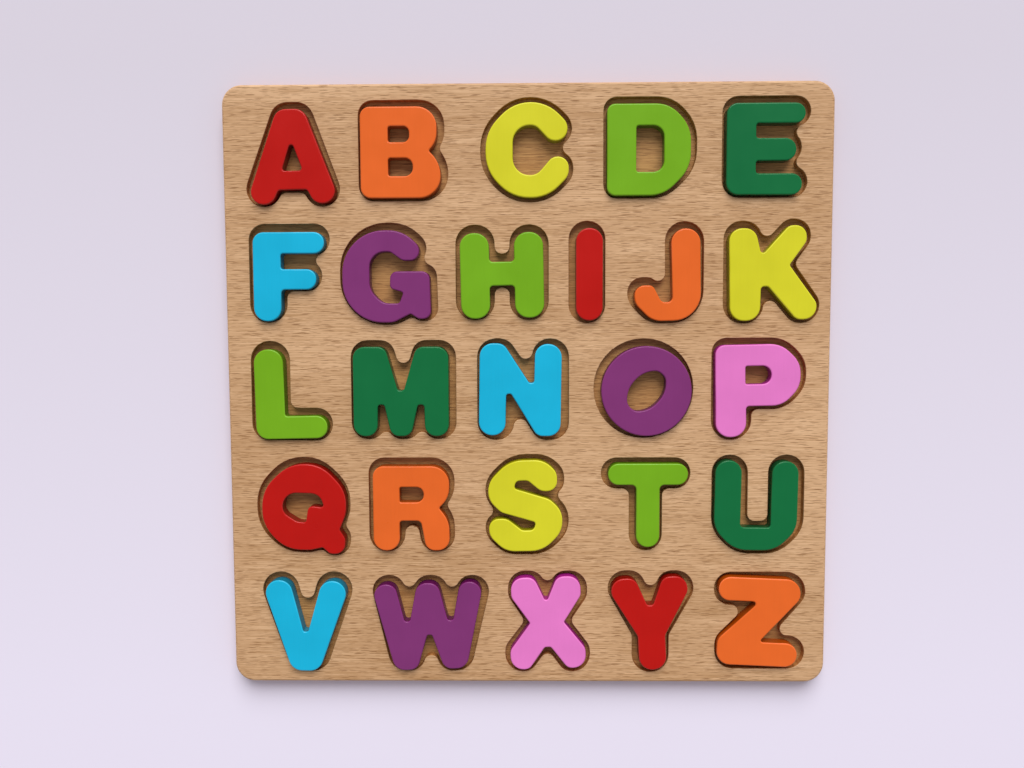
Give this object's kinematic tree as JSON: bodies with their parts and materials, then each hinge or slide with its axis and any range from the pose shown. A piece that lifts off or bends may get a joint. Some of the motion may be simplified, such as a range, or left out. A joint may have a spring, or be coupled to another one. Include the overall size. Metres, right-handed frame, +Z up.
{
  "type": "alphabet puzzle",
  "caption": "Square wooden puzzle board with a letter-shaped pocket for each capital of the alphabet, and thick painted letters that lift out of their pockets.",
  "frame": {"origin": "middle of the underside of the board", "axes": "+Z up out of the lettered face, +Y toward the row that starts with A, +X to the reader's right"},
  "size_m": [0.2, 0.2, 0.008],
  "materials": {
    "beech_frame": "clear satin lacquer on beech",
    "beech_backing": "clear satin lacquer on beech",
    "paint_red": "satin paint on wood",
    "paint_orange": "satin paint on wood",
    "paint_yellow": "satin paint on wood",
    "paint_leaf": "satin paint on wood",
    "paint_forest": "satin paint on wood",
    "paint_sky": "satin paint on wood",
    "paint_purple": "satin paint on wood",
    "paint_pink": "satin paint on wood"
  },
  "bodies": {
    "board": {"frame_panel": "beech_frame", "backing_panel": "beech_backing"},
    "letter_a": {"letter_a": "paint_red"},
    "letter_b": {"letter_b": "paint_orange"},
    "letter_c": {"letter_c": "paint_yellow"},
    "letter_d": {"letter_d": "paint_leaf"},
    "letter_e": {"letter_e": "paint_forest"},
    "letter_f": {"letter_f": "paint_sky"},
    "letter_g": {"letter_g": "paint_purple"},
    "letter_h": {"letter_h": "paint_leaf"},
    "letter_i": {"letter_i": "paint_red"},
    "letter_j": {"letter_j": "paint_orange"},
    "letter_k": {"letter_k": "paint_yellow"},
    "letter_l": {"letter_l": "paint_leaf"},
    "letter_m": {"letter_m": "paint_forest"},
    "letter_n": {"letter_n": "paint_sky"},
    "letter_o": {"letter_o": "paint_purple"},
    "letter_p": {"letter_p": "paint_pink"},
    "letter_q": {"letter_q": "paint_red"},
    "letter_r": {"letter_r": "paint_orange"},
    "letter_s": {"letter_s": "paint_yellow"},
    "letter_t": {"letter_t": "paint_leaf"},
    "letter_u": {"letter_u": "paint_forest"},
    "letter_v": {"letter_v": "paint_sky"},
    "letter_w": {"letter_w": "paint_purple"},
    "letter_x": {"letter_x": "paint_pink"},
    "letter_y": {"letter_y": "paint_red"},
    "letter_z": {"letter_z": "paint_orange"}
  },
  "joints": [
    {"name": "lift_a", "type": "slide", "parent": "board", "child": "letter_a", "axis": [0, 0, 1], "range_m": [0, 0.03]},
    {"name": "lift_b", "type": "slide", "parent": "board", "child": "letter_b", "axis": [0, 0, 1], "range_m": [0, 0.03]},
    {"name": "lift_c", "type": "slide", "parent": "board", "child": "letter_c", "axis": [0, 0, 1], "range_m": [0, 0.03]},
    {"name": "lift_d", "type": "slide", "parent": "board", "child": "letter_d", "axis": [0, 0, 1], "range_m": [0, 0.03]},
    {"name": "lift_e", "type": "slide", "parent": "board", "child": "letter_e", "axis": [0, 0, 1], "range_m": [0, 0.03]},
    {"name": "lift_f", "type": "slide", "parent": "board", "child": "letter_f", "axis": [0, 0, 1], "range_m": [0, 0.03]},
    {"name": "lift_g", "type": "slide", "parent": "board", "child": "letter_g", "axis": [0, 0, 1], "range_m": [0, 0.03]},
    {"name": "lift_h", "type": "slide", "parent": "board", "child": "letter_h", "axis": [0, 0, 1], "range_m": [0, 0.03]},
    {"name": "lift_i", "type": "slide", "parent": "board", "child": "letter_i", "axis": [0, 0, 1], "range_m": [0, 0.03]},
    {"name": "lift_j", "type": "slide", "parent": "board", "child": "letter_j", "axis": [0, 0, 1], "range_m": [0, 0.03]},
    {"name": "lift_k", "type": "slide", "parent": "board", "child": "letter_k", "axis": [0, 0, 1], "range_m": [0, 0.03]},
    {"name": "lift_l", "type": "slide", "parent": "board", "child": "letter_l", "axis": [0, 0, 1], "range_m": [0, 0.03]},
    {"name": "lift_m", "type": "slide", "parent": "board", "child": "letter_m", "axis": [0, 0, 1], "range_m": [0, 0.03]},
    {"name": "lift_n", "type": "slide", "parent": "board", "child": "letter_n", "axis": [0, 0, 1], "range_m": [0, 0.03]},
    {"name": "lift_o", "type": "slide", "parent": "board", "child": "letter_o", "axis": [0, 0, 1], "range_m": [0, 0.03]},
    {"name": "lift_p", "type": "slide", "parent": "board", "child": "letter_p", "axis": [0, 0, 1], "range_m": [0, 0.03]},
    {"name": "lift_q", "type": "slide", "parent": "board", "child": "letter_q", "axis": [0, 0, 1], "range_m": [0, 0.03]},
    {"name": "lift_r", "type": "slide", "parent": "board", "child": "letter_r", "axis": [0, 0, 1], "range_m": [0, 0.03]},
    {"name": "lift_s", "type": "slide", "parent": "board", "child": "letter_s", "axis": [0, 0, 1], "range_m": [0, 0.03]},
    {"name": "lift_t", "type": "slide", "parent": "board", "child": "letter_t", "axis": [0, 0, 1], "range_m": [0, 0.03]},
    {"name": "lift_u", "type": "slide", "parent": "board", "child": "letter_u", "axis": [0, 0, 1], "range_m": [0, 0.03]},
    {"name": "lift_v", "type": "slide", "parent": "board", "child": "letter_v", "axis": [0, 0, 1], "range_m": [0, 0.03]},
    {"name": "lift_w", "type": "slide", "parent": "board", "child": "letter_w", "axis": [0, 0, 1], "range_m": [0, 0.03]},
    {"name": "lift_x", "type": "slide", "parent": "board", "child": "letter_x", "axis": [0, 0, 1], "range_m": [0, 0.03]},
    {"name": "lift_y", "type": "slide", "parent": "board", "child": "letter_y", "axis": [0, 0, 1], "range_m": [0, 0.03]},
    {"name": "lift_z", "type": "slide", "parent": "board", "child": "letter_z", "axis": [0, 0, 1], "range_m": [0, 0.03]}
  ]
}
